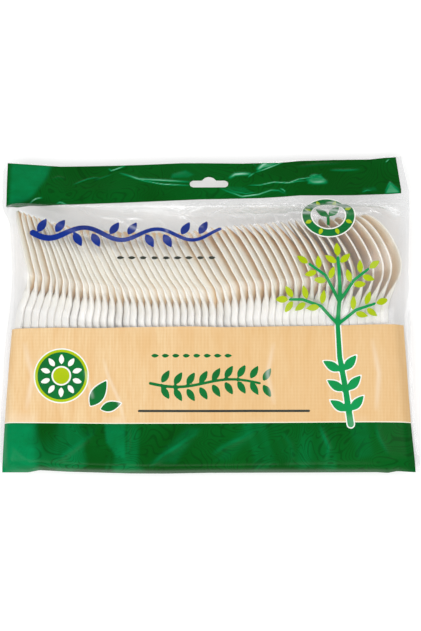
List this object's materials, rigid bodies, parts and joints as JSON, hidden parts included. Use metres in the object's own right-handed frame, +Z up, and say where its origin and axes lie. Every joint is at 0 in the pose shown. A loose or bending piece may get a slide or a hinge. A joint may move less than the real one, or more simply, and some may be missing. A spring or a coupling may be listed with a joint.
{
  "type": "bag of disposable spoons",
  "caption": "Clear header bag with a hang slot, filled with one row of moulded disposable spoons standing on edge.",
  "frame": {"origin": "middle of the pack's base, on the floor that it lies on", "axes": "+X along the row of spoons, +Y from the handle ends to the header, +Z up out of the pack's front"},
  "size_m": [0.2656, 0.2014, 0.0372],
  "materials": {
    "moulded_ivory": "matt moulded plant-based plastic, off-white",
    "clear_film": "clear glossy film with printed green and light brown bands"
  },
  "bodies": {
    "root": {"spoon_01": "moulded_ivory", "spoon_02": "moulded_ivory", "spoon_03": "moulded_ivory", "spoon_04": "moulded_ivory", "spoon_05": "moulded_ivory", "spoon_06": "moulded_ivory", "spoon_07": "moulded_ivory", "spoon_08": "moulded_ivory", "spoon_09": "moulded_ivory", "spoon_10": "moulded_ivory", "spoon_11": "moulded_ivory", "spoon_12": "moulded_ivory", "spoon_13": "moulded_ivory", "spoon_14": "moulded_ivory", "spoon_15": "moulded_ivory", "spoon_16": "moulded_ivory", "spoon_17": "moulded_ivory", "spoon_18": "moulded_ivory", "spoon_19": "moulded_ivory", "spoon_20": "moulded_ivory", "spoon_21": "moulded_ivory", "spoon_22": "moulded_ivory", "spoon_23": "moulded_ivory", "spoon_24": "moulded_ivory", "spoon_25": "moulded_ivory", "spoon_26": "moulded_ivory", "spoon_27": "moulded_ivory", "spoon_28": "moulded_ivory", "spoon_29": "moulded_ivory", "spoon_30": "moulded_ivory", "spoon_31": "moulded_ivory", "spoon_32": "moulded_ivory", "spoon_33": "moulded_ivory", "spoon_34": "moulded_ivory", "spoon_35": "moulded_ivory", "spoon_36": "moulded_ivory", "spoon_37": "moulded_ivory", "spoon_38": "moulded_ivory", "spoon_39": "moulded_ivory", "spoon_40": "moulded_ivory", "spoon_41": "moulded_ivory", "spoon_42": "moulded_ivory", "spoon_43": "moulded_ivory", "spoon_44": "moulded_ivory", "spoon_45": "moulded_ivory", "spoon_46": "moulded_ivory", "spoon_47": "moulded_ivory", "spoon_48": "moulded_ivory", "spoon_49": "moulded_ivory", "spoon_50": "moulded_ivory", "film_bag": "clear_film"}
  },
  "joints": []
}
